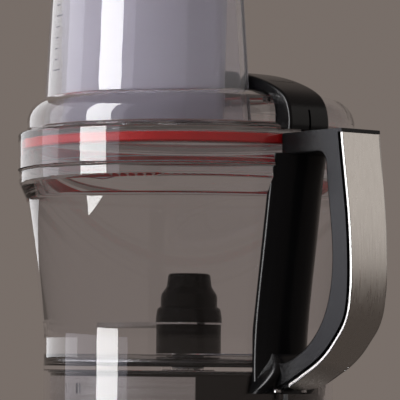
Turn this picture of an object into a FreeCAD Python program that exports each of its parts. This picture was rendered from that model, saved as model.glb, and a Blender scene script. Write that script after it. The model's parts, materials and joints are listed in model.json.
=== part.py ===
import FreeCAD
import Part
import math
import os

# Food processor: a motor base with a feed-through drive, a clear twist-off bowl with a side
# handle, a clear lid with one wide feed chute, two nested pushers and an S-shaped blade pair.
# Millimetres, +Z up. The origin is on the drive axis, in the plane that the feet stand on.
# The control panel faces -Y and the bowl handle points along +X.

V = FreeCAD.Vector
UP = V(0, 0, 1)

# ---- driving dimensions -------------------------------------------------------------------
BOWL_Z = 150.0          # datum plane of the bowl: just under its floor surface
BOWL_R_LOW = 86.8       # outside radius of the straight lower bowl wall and its skirt
BOWL_R_TOP = 98.4       # outside radius just under the flared rim
RIM_R = 103.0           # outside radius of the flared rim
LID_R = 103.8           # outside radius of the lid skirt
DOME_R = 98.6           # outside radius of the lid dome
WALL = 2.5              # clear plastic wall
FIT = 0.2               # gap between parts that slide or turn on each other
TWIST_DEG = 25.0        # bayonet turn of bowl and lid
ROD_TRAVEL = 3.0        # interlock rod and plunger stroke

BASE_BOTTOM_Z = 5.0     # lower edge of the housing
DECK_Z = 118.0          # flat top of the housing
BASE_WALL = 3.0
BOSS_R = 82.6           # raised boss that the bowl skirt drops over
BOSS_TOP_Z = BOWL_Z - 3.3
BOSS_BLACK_DEG = 35.0   # half angle of the black sector of the boss, under the handle

CHUTE_TOP_Z = BOWL_Z + 276.0
LID_TOP_Z = BOWL_Z + 161.5
CHUTE_DRAFT = math.tan(math.radians(2.6))

SHAFT_R = 6.0
TUBE_R = 13.0           # outside of the bowl's centre tube
TUBE_BORE_R = 10.5
SMALL_TUBE_R = 24.5     # inside radius of the round feed tube in the large pusher
SMALL_TUBE_Y = -51.8


# ---- helpers ------------------------------------------------------------------------------
def cyl(r, z0, z1, x=0.0, y=0.0):
    return Part.makeCylinder(r, z1 - z0, V(x, y, z0))


def tube(r_out, r_in, z0, z1, x=0.0, y=0.0):
    return cyl(r_out, z0, z1, x, y).cut(cyl(r_in, z0 - 1, z1 + 1, x, y))


def box(x0, x1, y0, y1, z0, z1):
    return Part.makeBox(x1 - x0, y1 - y0, z1 - z0, V(x0, y0, z0))


def cyl_y(r, y0, y1, x, z):
    return Part.makeCylinder(r, y1 - y0, V(x, y0, z), V(0, 1, 0))


def in_xz(p):
    return V(p[0], 0, p[1])


def in_xy(z):
    return lambda p: V(p[0], p[1], z)


def rounded_wire(corners, place):
    """A closed outline of straight runs; each corner is (u, v, radius), rounded by a tangent arc."""
    edges = []
    ends = []
    count = len(corners)
    for i, (u, v, r) in enumerate(corners):
        here = V(u, v, 0)
        back = V(corners[i - 1][0], corners[i - 1][1], 0) - here
        ahead = V(corners[(i + 1) % count][0], corners[(i + 1) % count][1], 0) - here
        back.normalize()
        ahead.normalize()
        if r <= 0:
            ends.append((here, here, None))
            continue
        half = math.acos(max(-1.0, min(1.0, back.dot(ahead)))) / 2
        reach = r / math.tan(half)
        middle = (back + ahead).normalize()
        crown = here + middle * (r / math.sin(half) - r)
        ends.append((here + back * reach, here + ahead * reach, crown))
    for i, (start, end, crown) in enumerate(ends):
        if crown is not None:
            edges.append(Part.Arc(*[place(p) for p in (start, crown, end)]).toShape())
        following = ends[(i + 1) % count][0]
        if (following - end).Length > 1e-6:
            edges.append(Part.makeLine(place(end), place(following)))
    return Part.Wire(edges)


def turned(corners):
    """A solid of revolution about Z from a rounded outline in radius and height."""
    return Part.Face(rounded_wire(corners, in_xz)).revolve(V(), UP, 360)


def slab(corners, z0, z1):
    """A prism along Z from a rounded outline in X and Y."""
    return Part.Face(rounded_wire(corners, in_xy(z0))).extrude(V(0, 0, z1 - z0))


def side_slab(corners, y0, y1):
    """A prism along Y from a rounded outline in X and Z."""
    face = Part.Face(rounded_wire(corners, lambda p: V(p[0], y0, p[1])))
    return face.extrude(V(0, y1 - y0, 0))


def rectangle(x0, x1, y0, y1, r):
    return [(x0, y0, r), (x1, y0, r), (x1, y1, r), (x0, y1, r)]


def hexagon(across_flats, z0, z1):
    corner = across_flats / math.sqrt(3)
    angles = [math.radians(60 * i + 30) for i in range(6)]
    return slab([(corner * math.cos(a), corner * math.sin(a), 0.4) for a in angles], z0, z1)


def sector(r, a0, a1, z0, z1):
    """A wedge about Z between two angles in degrees."""
    return Part.makeCylinder(r, z1 - z0, V(0, 0, z0), UP, a1 - a0).rotate(V(), UP, a0)


def turn(shape, degrees):
    return shape.copy().rotate(V(), UP, degrees)


def fused(shapes):
    first, rest = shapes[0], shapes[1:]
    return first.fuse(rest).removeSplitter() if rest else first


def group(shapes):
    return Part.makeCompound(shapes)


def vertical_edges(shape, smallest=5.0):
    """Edges that run mostly along Z."""
    found = []
    for e in shape.Edges:
        a, b = e.Vertexes[0].Point, e.Vertexes[-1].Point
        run = b - a
        if run.Length > smallest and abs(run.z) > 0.9 * run.Length:
            found.append(e)
    return found


def flat_edges(shape, z, tolerance=0.01):
    """Edges that lie in the plane at height z."""
    return [e for e in shape.Edges
            if abs(e.BoundBox.ZMin - z) < tolerance and abs(e.BoundBox.ZMax - z) < tolerance]


# ---- base housing -------------------------------------------------------------------------
# height, half width, half depth and squareness of the housing's outline
HOUSING_SECTIONS = [
    (BASE_BOTTOM_Z, 99.0, 103.0, 3.8),
    (50.0, 99.5, 103.0, 3.5),
    (90.0, 98.5, 101.0, 3.1),
    (DECK_Z, 96.5, 98.0, 2.8),
]
OUTLINE_POINTS = 40


def squircle(half_x, half_y, power, z):
    points = []
    for i in range(OUTLINE_POINTS):
        a = 2 * math.pi * (i + 0.5) / OUTLINE_POINTS
        c, s = math.cos(a), math.sin(a)
        x = math.copysign(abs(c) ** (2 / power), c) * half_x
        y = math.copysign(abs(s) ** (2 / power), s) * half_y
        points.append(V(x, y, z))
    curve = Part.BSplineCurve()
    curve.interpolate(Points=points, PeriodicFlag=True)
    return Part.Wire(curve.toShape())


def housing_form(inset=0.0, z_low=None, z_high=None):
    wires = []
    last = len(HOUSING_SECTIONS) - 1
    for i, (z, hx, hy, power) in enumerate(HOUSING_SECTIONS):
        if i == 0 and z_low is not None:
            z = z_low
        if i == last and z_high is not None:
            z = z_high
        wires.append(squircle(hx - inset, hy - inset, power, z))
    return Part.makeLoft(wires, True, False)


SCREW_POST_XY = [(sx * 77.0, sy * 80.0) for sx in (-1, 1) for sy in (-1, 1)]
FOOT_XY = [(sx * 63.0, sy * 68.0) for sx in (-1, 1) for sy in (-1, 1)]
PANEL = (-60.0, 60.0, 40.0, 97.0, 11.0)      # x0, x1, z0, z1, corner radius
GLAND_X, GLAND_Z = -52.0, 26.0
GLAND_BORE_R = 4.2
GLAND_R = 8.0
TURRET_X = (88.0, 99.0)
TURRET_Y = 10.5
TURRET_TOP_Z = BOWL_Z - 18.3
PLUNGER_X = 92.6
VENT_Z = (30.0, 66.0)


def panel_prism(gap, y0, y1):
    x0, x1, z0, z1, r = PANEL
    return side_slab(rectangle(x0 + gap, x1 - gap, z0 + gap, z1 - gap, r - gap), y0, y1)


def rear_vents():
    slots = []
    for i in range(9):
        x = -8.0 + i * 7.5
        slots.append(side_slab(rectangle(x - 1.4, x + 1.4, VENT_Z[0], VENT_Z[1], 1.39), 85, 120))
    return slots


def base_housing():
    outer = housing_form()
    outer = outer.makeFillet(7.0, flat_edges(outer, DECK_Z))
    inner = housing_form(BASE_WALL, BASE_BOTTOM_Z - 1, DECK_Z - BASE_WALL)
    posts = [cyl(7.0, BASE_BOTTOM_Z + 3.2, 34.0, x, y).common(outer) for x, y in SCREW_POST_XY]
    shell = fused([outer.cut(inner)] + posts)
    cuts = [cyl(1.6, 0, 30.0, x, y) for x, y in SCREW_POST_XY]
    cuts.append(cyl(76.0, DECK_Z - 10, DECK_Z + 5))
    cuts.append(panel_prism(0.0, -130, -70))
    cuts.append(cyl_y(GLAND_R + 0.1, 80, 130, GLAND_X, GLAND_Z))
    cuts.append(cyl(3.2, DECK_Z - 10, DECK_Z + 5, PLUNGER_X, 0))
    return shell.cut(cuts + rear_vents())


def bottom_plate():
    plate_form = housing_form(BASE_WALL + 0.3, BASE_BOTTOM_Z)
    plate = plate_form.common(box(-150, 150, -150, 150, BASE_BOTTOM_Z, BASE_BOTTOM_Z + 3))
    cuts = [cyl(2.0, 0, 20, x, y) for x, y in SCREW_POST_XY]
    cuts += [cyl(4.0, 0, BASE_BOTTOM_Z + 1.6, x, y) for x, y in SCREW_POST_XY]
    cuts += [cyl(3.6, 0, 20, x, y) for x, y in FOOT_XY]
    for i in range(9):
        x = -32.0 + 8.0 * i
        reach = math.sqrt(42.0 ** 2 - x ** 2)
        cuts.append(slab(rectangle(x - 1.6, x + 1.6, -reach, reach, 1.59), 0, 20))
    posts = [cyl(5.0, BASE_BOTTOM_Z + 2.9, 15.8, x, y) for x, y in MOTOR_BOLT_XY]
    for y0 in (POWER_BOARD_Y[0], POWER_BOARD_Y[1] - 6):
        post = box(-74.5, -68.0, y0 - 1.5, y0 + 7.5, BASE_BOTTOM_Z + 2.9, 32)
        posts.append(post.cut(box(-72.1, -70.3, POWER_BOARD_Y[0] - 0.3, POWER_BOARD_Y[1] + 0.3,
                                  POWER_BOARD_Z[0] - 0.1, 40)))
    return fused([plate.cut(cuts)] + posts)


def rubber_foot(x, y):
    foot = turned([(0, 0, 0), (9.8, 0, 1.0), (11.0, 4.9, 0.6), (3.5, 4.9, 0), (3.5, 8.2, 0),
                   (4.8, 8.4, 0), (3.0, 10.5, 0.5), (0, 10.5, 0)])
    foot.translate(V(x, y, 0))
    return foot


def feet():
    return group([rubber_foot(x, y) for x, y in FOOT_XY])


def pan_screw(x, y, z, head_r, length, thread_r=1.5):
    """A screw whose head faces down at height z, with a cross recess."""
    head_h = 0.75 * head_r
    shape = cyl(head_r, z, z + head_h, x, y).fuse(cyl(thread_r, z + head_h, z + length, x, y))
    arm, depth = 0.6 * head_r, 0.45 * head_r
    for dx, dy in ((arm, 0.35), (0.35, arm)):
        shape = shape.cut(box(x - dx, x + dx, y - dy, y + dy, z - 1, z + depth))
    return shape


def base_screws():
    return group([pan_screw(x, y, BASE_BOTTOM_Z - 0.8, 3.0, 22.0) for x, y in SCREW_POST_XY])


# ---- boss on the deck, where the bowl sits ------------------------------------------------
def boss_housing():
    r = BOSS_R - 2.2
    cup = turned([(14.1, BOSS_TOP_Z - 3, 0), (r - 2.6, BOSS_TOP_Z - 3, 3), (r - 2.6, DECK_Z, 0),
                  (r, DECK_Z, 0), (r, BOSS_TOP_Z - 1.2, 0), (BOSS_R, BOSS_TOP_Z - 1.2, 0),
                  (BOSS_R, BOSS_TOP_Z, 1.0), (14.1, BOSS_TOP_Z, 0.8)])
    half = BOSS_BLACK_DEG
    under_handle = tube(BOSS_R, r - 0.5, DECK_Z, BOSS_TOP_Z - 1.0)
    under_handle = under_handle.common(sector(120, -half, half, 0, 300))
    collar = tube(18.0, 14.1, BOSS_TOP_Z - 12, BOSS_TOP_Z - 2.5)
    return fused([cup, under_handle, collar])


def boss_band():
    band = turned([(BOSS_R - 2.1, DECK_Z + 0.1, 0), (BOSS_R, DECK_Z + 0.1, 0.4),
                   (BOSS_R, BOSS_TOP_Z - 1.3, 0.5), (BOSS_R - 2.1, BOSS_TOP_Z - 1.3, 0)])
    return band.cut(sector(120, -BOSS_BLACK_DEG - 0.15, BOSS_BLACK_DEG + 0.15, 0, 300))


def shaft_seal():
    return turned([(SHAFT_R + 0.1, BOSS_TOP_Z - 5, 0), (14.0, BOSS_TOP_Z - 5, 0),
                   (14.0, BOSS_TOP_Z - 0.3, 0), (9.0, BOSS_TOP_Z + 0.2, 1),
                   (SHAFT_R + 0.1, BOSS_TOP_Z - 1.0, 0)])


def interlock_turret():
    x0, x1 = TURRET_X
    block = slab(rectangle(x0, x1, -TURRET_Y, TURRET_Y, 3.0), DECK_Z, TURRET_TOP_Z)
    block = block.makeFillet(1.2, flat_edges(block, TURRET_TOP_Z))
    block = block.common(cyl(97.5, 0, 300))
    return block.cut(cyl(2.8, 0, 300, PLUNGER_X, 0)).cut(
        cyl(3.6, 0, TURRET_TOP_Z - 3.0, PLUNGER_X, 0))


def interlock_plunger():
    top = TURRET_TOP_Z + 0.3
    stem = cyl(2.6, top - 7.5, top, PLUNGER_X, 0)
    stem = stem.makeFillet(0.8, flat_edges(stem, top))
    collar = cyl(3.4, top - 8.5, top - 6.9, PLUNGER_X, 0)
    rod = cyl(1.5, 109.0, top - 8.0, PLUNGER_X, 0)
    return fused([stem, collar, rod])


PLUNGER_SPRING_Z = (DECK_Z + 0.4, TURRET_TOP_Z - 8.3)


def coil_spring(r, wire_r, z0, z1, turns, x=0.0, y=0.0):
    height = z1 - z0 - 2 * wire_r
    helix = Part.makeHelix(height / turns, height, r)
    helix.translate(V(0, 0, z0 + wire_r))
    start = V(r, 0, z0 + wire_r)
    section = Part.Wire(Part.makeCircle(wire_r, start, V(0, 1, 0)))
    spring = Part.Wire(helix).makePipeShell([section], True, True)
    spring.translate(V(x, y, 0))
    return spring


def plunger_spring():
    return coil_spring(2.5, 0.35, *PLUNGER_SPRING_Z, 3, PLUNGER_X, 0)


def interlock_switch():
    x = PLUNGER_X - 0.5
    body = box(x - 3.2, x + 1.2, -10, 10, 93, 105).fuse(box(x - 3.2, x + 1.2, -2, 2, 105, 106.5))
    legs = [box(x - 1.2, x - 0.6, y - 1.5, y + 1.5, 87, 93) for y in (-7, 0, 7)]
    return fused([body] + legs)


# ---- motor --------------------------------------------------------------------------------
STACK_Z = (38.0, 88.0)
STACK_HALF = 48.0
ROTOR_R = 29.0
BEARING_R = 14.0
BEARING_W = 8.0
UPPER_BEARING_Z = 100.0
LOWER_BEARING_Z = 19.0
MOTOR_BOLT_XY = [(sx * 40.0, sy * 40.0) for sx in (-1, 1) for sy in (-1, 1)]


def motor_square(z0, z1, half=STACK_HALF, r=10.0):
    return slab(rectangle(-half, half, -half, half, r), z0, z1)


def stator_core():
    core = motor_square(*STACK_Z).cut(cyl(ROTOR_R + 0.5, 0, 200))
    cuts = [cyl(2.3, 0, 200, x, y) for x, y in MOTOR_BOLT_XY]
    for i in range(24):
        a = 15.0 * i
        slot = slab(rectangle(33.0, 41.5, -1.6, 1.6, 1.5), *STACK_Z)
        mouth = box(ROTOR_R, 34.0, -0.8, 0.8, *STACK_Z)
        cuts.append(turn(slot, a))
        cuts.append(turn(mouth, a))
    return core.cut(cuts)


def end_winding(base, crown):
    """One packed ring of copper, standing on the stack at base and reaching to crown."""
    lean = math.copysign(1.0, crown - base)
    return turned([(32.0, base, 0), (42.5, base, 0), (45.0, base + 5 * lean, 2),
                   (43.0, crown, 3.0), (34.0, crown, 3.0), (32.0, base + 4 * lean, 1)])


def stator_windings():
    return group([end_winding(STACK_Z[1], 98.0), end_winding(STACK_Z[0], 28.5)])


def end_bracket(z0, z1, bearing_z):
    """A cast end bracket: a rim, four arms, a bearing cup and legs that stand on the stack."""
    rim = motor_square(z0, z1).cut(motor_square(z0 - 1, z1 + 1, STACK_HALF - 5, 7))
    arms = [turn(box(12, 62, -5, 5, z0, z1), a) for a in (45, 135, 225, 315)]
    arms = [a.common(motor_square(z0, z1)) for a in arms]
    cup = cyl(BEARING_R + 4, min(z0, bearing_z - 1.5), max(z1, bearing_z + BEARING_W + 1.0))
    leg = (STACK_Z[1], z0 + 1) if z0 > STACK_Z[1] else (z1 - 1, STACK_Z[0])
    legs = [cyl(5.0, *leg, x, y) for x, y in MOTOR_BOLT_XY]
    shape = fused([rim, cup] + arms + legs)
    cuts = [cyl(BEARING_R + 0.02, bearing_z, bearing_z + BEARING_W)]
    cuts.append(cyl(SHAFT_R + 2.0, 0, 200))
    cuts += [cyl(2.3, 0, 200, x, y) for x, y in MOTOR_BOLT_XY]
    return shape.cut(cuts)


def bearing(z):
    outer = tube(BEARING_R, 11.2, z, z + BEARING_W)
    shield = tube(11.2, 8.3, z + 0.8, z + BEARING_W - 0.8)
    inner = tube(8.3, SHAFT_R + 0.03, z, z + BEARING_W)
    return fused([outer, shield, inner])


def motor_bolts():
    bolts = []
    for x, y in MOTOR_BOLT_XY:
        shank = cyl(2.0, 19.5, 109.0, x, y)
        head = cyl(3.6, 107.2, 110.4, x, y).cut(hexagon(3.0, 108.4, 111).translated(V(x, y, 0)))
        nut = hexagon(7.0, 17.4, 19.9).translated(V(x, y, 0))
        bolts.append(fused([shank, head, nut]))
    return group(bolts)


def motor_mounts():
    """Rubber cushions between the bottom plate's posts and the motor."""
    mounts = []
    for x, y in MOTOR_BOLT_XY:
        pad = cyl(6.0, 15.8, 20.0, x, y).cut(cyl(4.6, 16.9, 20.1, x, y))
        mounts.append(pad)
    return group(mounts)


def rotor_core():
    core = turned([(SHAFT_R + 0.02, STACK_Z[0], 0), (ROTOR_R, STACK_Z[0], 0),
                   (ROTOR_R, STACK_Z[1], 0), (SHAFT_R + 0.02, STACK_Z[1], 0)])
    rings = [tube(ROTOR_R - 1, 19.0, STACK_Z[1], STACK_Z[1] + 5),
             tube(ROTOR_R - 1, 19.0, STACK_Z[0] - 5, STACK_Z[0])]
    return fused([core] + rings)


def motor_shaft():
    return turned([(0, 10.0, 0), (SHAFT_R, 10.0, 0.8), (SHAFT_R, 147.4, 0), (4.0, 147.4, 0),
                   (4.0, 161.0, 0.5), (0, 161.0, 0)])


def cooling_fan():
    hub = tube(11.0, SHAFT_R + 0.02, 9.4, 17.0)
    disc = tube(38.0, 10.0, 9.4, 10.9)
    blades = []
    for i in range(11):
        blade = box(10.5, 37.5, -0.7, 0.7, 10.5, 15.4)
        blade.rotate(V(10.5, 0, 0), UP, 18.0)
        blades.append(turn(blade.common(cyl(37.5, 0, 30)), 360.0 * i / 11))
    return fused([hub, disc] + blades)


def drive_dog():
    """Hexagonal driver screwed on the end of the shaft."""
    flange = cyl(9.4, 147.5, 149.6)
    post = hexagon(12.0, 149.0, 166.0)
    post = post.common(turned([(0, 149.0, 0), (7.0, 149.0, 0), (7.0, 164.6, 0), (5.2, 166.0, 0),
                               (0, 166.0, 0)]))
    return fused([flange, post]).cut(cyl(4.02, 147.0, 161.2))


# ---- electrics ----------------------------------------------------------------------------
CAPACITOR_XY = (-56.0, 62.0)


def run_capacitor():
    can = turned([(0, 12.0, 0), (15.0, 12.0, 2.0), (15.0, 66.0, 2.5), (0, 66.0, 0)])
    can = can.fuse([box(-6, -4.8, -3, 3, 65.9, 74), box(4.8, 6, -3, 3, 65.9, 74)])
    can.translate(V(*CAPACITOR_XY, 0))
    return can


def capacitor_cradle():
    """Cup on the bottom plate that holds the capacitor, relieved over the foot's plug."""
    cup = turned([(0, 8.0, 0), (17.0, 8.0, 0), (17.0, 24.0, 0.6), (15.1, 24.0, 0.6),
                  (15.1, 11.9, 0), (0, 11.9, 0)])
    cup.translate(V(*CAPACITOR_XY, 0))
    return cup.cut(cyl(5.2, 0, 11.0, -FOOT_XY[3][0], FOOT_XY[3][1]))


POWER_BOARD_Y = (-44.0, 36.0)
POWER_BOARD_Z = (26.0, 96.0)


def power_board():
    board = box(-72.0, -70.4, *POWER_BOARD_Y, *POWER_BOARD_Z)
    relay = box(-88.0, -72.0, -34, -15, 32, 54)
    choke = Part.makeTorus(9.0, 4.2, V(-75.9, 6, 44), V(1, 0, 0))
    parts = [relay, choke]
    parts += [box(-87.0, -72.0, y, y + 2, 66, 90) for y in (-36, -28, -20, -12)]
    parts.append(box(-74.0, -72.0, -36, -10, 66, 90))
    parts += [Part.makeCylinder(5.0, 13.0, V(-85.0, y, 78), V(1, 0, 0)) for y in (2, 15, 28)]
    return fused([board] + parts)


BUTTONS = {
    # name: (x, z, radius)
    "start_button": (-39.0, 75.0, 11.0),
    "pulse_button": (39.0, 75.0, 11.0),
    "power_button": (-39.0, 51.5, 6.5),
    "timer_up_button": (31.5, 51.5, 5.2),
    "timer_down_button": (46.5, 51.5, 5.2),
}
BUTTON_BACK_Y = -85.8
BUTTON_STROKE = 1.5
DISPLAY_XZ = (0.0, 69.0)
DISPLAY_R = 22.0
BOARD_Y = -80.0


def panel_y(x, z):
    """Front surface of the panel at x and z, by interpolation between the housing's sections."""
    for low, high in zip(HOUSING_SECTIONS, HOUSING_SECTIONS[1:]):
        if low[0] <= z <= high[0]:
            t = (z - low[0]) / (high[0] - low[0])
            hx, hy, power = [a + (b - a) * t for a, b in zip(low[1:], high[1:])]
            return -hy * (1 - abs(x / hx) ** power) ** (1 / power)
    raise ValueError("height outside the housing")


def control_panel():
    block = panel_prism(0.25, -130, -87.0).common(housing_form())
    x0, x1, z0, z1, r = PANEL
    flange = side_slab(rectangle(x0 - 4, x1 + 4, z0 - 4, z1 + 4, r + 4), -88.6, -86.0)
    flange = flange.common(housing_form(BASE_WALL + 0.2))
    cuts = [cyl_y(r_b + 0.3, -130, -70, x, z) for x, z, r_b in BUTTONS.values()]
    cuts.append(cyl_y(DISPLAY_R + 0.1, -130, -70, *DISPLAY_XZ))
    posts = [cyl_y(2.5, -86.1, BOARD_Y - 0.05, x, z) for x in (-50, 50) for z in (45.5, 91.5)]
    return fused([block, flange] + posts).cut(cuts)


def button(name):
    x, z, r = BUTTONS[name]
    front = panel_y(x, z) - 1.6
    cap = cyl_y(r, front, BUTTON_BACK_Y, x, z)
    rim = [e for e in cap.Edges if abs(e.BoundBox.YMin - front) < 0.01 and e.BoundBox.YLength < 0.01]
    cap = cap.makeFillet(1.0, rim)
    dish_r = 6.0 * r
    dish = Part.makeSphere(dish_r, V(x, front - dish_r + 0.5, z))
    return cap.cut(dish)


def display_bezel():
    x, z = DISPLAY_XZ
    ring = cyl_y(DISPLAY_R, -103.4, -92.0, x, z).cut(cyl_y(DISPLAY_R - 2.4, -110, -90, x, z))
    front = [e for e in ring.Edges if e.BoundBox.YMax < -103.3]
    return ring.makeChamfer(0.7, front)


def display_lens():
    x, z = DISPLAY_XZ
    return cyl_y(DISPLAY_R - 2.5, -102.4, -100.4, x, z)


def display_module():
    x, z = DISPLAY_XZ
    can = cyl_y(DISPLAY_R - 2.7, -100.0, -91.0, x, z)
    back = cyl_y(DISPLAY_R - 5.0, -91.2, -80.2, x, z)
    return can.fuse(back)


def control_board():
    board = side_slab(rectangle(-54, 54, 42, 95, 3), BOARD_Y, BOARD_Y + 1.6)
    chips = [box(x - 5, x + 5, BOARD_Y + 1.6, BOARD_Y + 4, z - 5, z + 5)
             for x, z in ((-30, 60), (8, 80), (30, 62))]
    return fused([board] + chips)


def tact_switches():
    """One small push switch on the control board behind each button."""
    switches = []
    for x, z, _ in BUTTONS.values():
        body = box(x - 3, x + 3, BOARD_Y - 3.0, BOARD_Y - 0.05, z - 3, z + 3)
        pip = cyl_y(1.7, BOARD_Y - 4.0, BOARD_Y - 2.5, x, z)
        switches.append(body.fuse(pip))
    return group(switches)


def cord_gland():
    """Grommet in the rear wall where a mains lead enters."""
    profile = [(GLAND_BORE_R, 92.5, 0), (GLAND_R + 1.6, 92.5, 0.5), (GLAND_R + 1.6, 93.9, 0.3),
               (GLAND_R, 93.9, 0), (GLAND_R, 101.9, 0), (GLAND_R + 2.5, 101.9, 0.4),
               (GLAND_R + 1.5, 106.0, 1.2), (GLAND_BORE_R, 106.5, 0.0)]
    body = turned(profile)
    body.rotate(V(), V(1, 0, 0), -90)
    body.translate(V(GLAND_X, 0, GLAND_Z))
    return body


# ---- bowl ---------------------------------------------------------------------------------
SKIRT_BOTTOM_Z = BOWL_Z - 27.0
FLOOR_Z = BOWL_Z + 1.0
FLOOR_UNDER_Z = BOWL_Z - 1.2
TAPER_Z = BOWL_Z + 22.0
SHOULDER_Z = BOWL_Z + 100.0
RIM_FLARE_Z = BOWL_Z + 110.0
RIM_STEP_Z = BOWL_Z + 116.6
RIM_TOP_Z = BOWL_Z + 129.0
TUBE_TOP_Z = BOWL_Z + 38.0
SKIRT_IN_R = BOWL_R_LOW - WALL
RIM_NECK_R = 100.0


def bowl_outside_r(z):
    """Outside radius of the bowl wall under the handle."""
    if z <= TAPER_Z:
        return BOWL_R_LOW
    if z <= SHOULDER_Z:
        return BOWL_R_LOW + (BOWL_R_TOP - BOWL_R_LOW) * (z - TAPER_Z) / (SHOULDER_Z - TAPER_Z)
    t = min(1.0, (z - SHOULDER_Z) / (RIM_FLARE_Z - SHOULDER_Z))
    return BOWL_R_TOP + (RIM_R - BOWL_R_TOP) * t


BOWL_OUTSIDE = [
    (BOWL_R_LOW, SKIRT_BOTTOM_Z, 0.8), (BOWL_R_LOW, TAPER_Z, 60.0),
    (BOWL_R_TOP, SHOULDER_Z, 10.0), (RIM_R, RIM_FLARE_Z, 5.0), (RIM_R, RIM_STEP_Z, 0.8),
    (RIM_NECK_R, RIM_STEP_Z + 0.4, 0.3), (RIM_NECK_R, RIM_TOP_Z, 0.8),
]
BOWL_INSIDE = [
    (RIM_NECK_R - WALL, RIM_TOP_Z, 0.8), (RIM_NECK_R - WALL, RIM_FLARE_Z + 2, 10.0),
    (BOWL_R_TOP - WALL, SHOULDER_Z, 10.0), (SKIRT_IN_R, TAPER_Z + 2, 60.0),
    (SKIRT_IN_R, FLOOR_Z, 7.0), (TUBE_R, FLOOR_Z, 2.0), (TUBE_R, TUBE_TOP_Z, 0.8),
    (TUBE_BORE_R, TUBE_TOP_Z, 0.8), (TUBE_BORE_R, FLOOR_UNDER_Z, 0.6),
    (SKIRT_IN_R, FLOOR_UNDER_Z, 0.8), (SKIRT_IN_R, SKIRT_BOTTOM_Z, 0.8),
]
LUG_DEGREES = (-91.0, 29.0, 149.0)
RAMP_DEGREES = (-128.0, -60.0, 52.0, 120.0)


def skirt_lugs():
    """Pads inside the skirt that centre the bowl on the boss and take the lock."""
    pads = []
    for a in LUG_DEGREES:
        ring = tube(SKIRT_IN_R + 0.4, SKIRT_IN_R - 1.3, BOWL_Z - 15.0, BOWL_Z - 9.0)
        pads.append(ring.common(sector(120, a - 3.4, a + 3.4, 0, 300)))
    return pads


def rim_ramps():
    """Raised lock ramps round the neck, under the lid skirt."""
    ramps = []
    for a in RAMP_DEGREES:
        ring = tube(RIM_NECK_R + 1.2, RIM_NECK_R - 0.5, RIM_STEP_Z + 7.2, RIM_STEP_Z + 9.0)
        stop = tube(RIM_NECK_R + 1.2, RIM_NECK_R - 0.5, RIM_STEP_Z + 0.2, RIM_STEP_Z + 9.0)
        ramps.append(ring.common(sector(130, a - 17, a + 17, 0, 400)))
        ramps.append(stop.common(sector(130, a - 17, a - 16, 0, 400)))
    return ramps


def bowl():
    return fused([turned(BOWL_OUTSIDE + BOWL_INSIDE)] + skirt_lugs() + rim_ramps())


def bowl_gasket():
    return turned([(62.0, BOSS_TOP_Z + FIT, 0.5), (SKIRT_IN_R - 0.2, BOSS_TOP_Z + FIT, 0.5),
                   (SKIRT_IN_R - 0.2, FLOOR_UNDER_Z - FIT, 0.5),
                   (62.0, FLOOR_UNDER_Z - FIT, 0.5)])


# ---- bowl handle --------------------------------------------------------------------------
BRIDGE_Z = (BOWL_Z + 122.5, BOWL_Z + 135.2)
GRIP_HALF_LOW = 12.9    # half width of the grip at its foot and at its top
GRIP_HALF_TOP = 14.4
COVER_SIDE = 0.6        # how much narrower the steel cover is, each side
GROOVE_SIDE = 2.0       # how far the dark groove beside the cover runs in
GROOVE_DEPTH = 3.4      # from the cover's face back to the grip's shoulder
COVER_DEPTH = 1.6
FOOT_Z = BOWL_Z - 14.0
ROD_R = 1.4
ROD_FOOT = V(91.0, 0, BOWL_Z - 17.5)
ROD_HEAD = V(107.6, 0, BOWL_Z + 135.0)
# middle line points of the grip's outer face, from the top corner down to the foot
GRIP_OUTER = [(154.8, BRIDGE_Z[1]), (158.4, BOWL_Z + 109), (161.6, BOWL_Z + 85),
              (163.0, BOWL_Z + 62), (162.4, BOWL_Z + 42), (158.6, BOWL_Z + 27),
              (150.5, BOWL_Z + 16.5), (138.5, BOWL_Z + 5.5), (122.0, BOWL_Z - 3.5),
              (104.0, BOWL_Z - 11.6), (88.0, FOOT_Z)]
GRIP_INNER = [(103.0, BOWL_Z + 3.5), (114.0, BOWL_Z + 7.5), (126.5, BOWL_Z + 15.0),
              (139.0, BOWL_Z + 30.0), (146.2, BOWL_Z + 58.0), (143.8, BOWL_Z + 92.0),
              (141.0, BRIDGE_Z[0])]


def curve_edge(points, offset=0.0):
    """A smooth curve through points in X and Z, moved sideways by offset."""
    curve = Part.BSplineCurve()
    curve.interpolate(Points=[in_xz(p) for p in points])
    if offset:
        shifted = []
        first, last = curve.FirstParameter, curve.LastParameter
        for i in range(17):
            u = first + (last - first) * i / 16
            tangent = curve.tangent(u)[0]
            shifted.append(curve.value(u) + V(tangent.z, 0, -tangent.x) * -offset)
        curve = Part.BSplineCurve()
        curve.interpolate(Points=shifted)
    return curve.toShape()


def lines_between(*points):
    return [Part.makeLine(a, b) for a, b in zip(points, points[1:])]


def extruded_y(edges, half_width):
    face = Part.Face(Part.Wire(edges))
    face.translate(V(0, -half_width, 0))
    return face.extrude(V(0, 2 * half_width, 0))


def taper_prism(side):
    """Space between the grip's two tapered flanks, each moved in by side."""
    low, top = GRIP_HALF_LOW - side, GRIP_HALF_TOP - side
    flanks = [V(60, -low, FOOT_Z - 1), V(60, low, FOOT_Z - 1), V(60, top, BRIDGE_Z[1] + 1),
              V(60, -top, BRIDGE_Z[1] + 1)]
    return Part.Face(Part.makePolygon(flanks + flanks[:1])).extrude(V(120, 0, 0))


def grip_slab(depth, side):
    """Bridge, grip and lower arm as one slab whose outer face lies depth inside the outline."""
    outer = curve_edge(GRIP_OUTER, -depth)
    start, end = outer.Vertexes[0].Point, outer.Vertexes[-1].Point
    rim = [outer] + lines_between(end, V(80, 0, end.z), V(80, 0, BRIDGE_Z[0]),
                                  V(96, 0, BRIDGE_Z[0]), V(96, 0, BRIDGE_Z[1]), start)
    return extruded_y(rim, 20).common(taper_prism(side))


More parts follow.
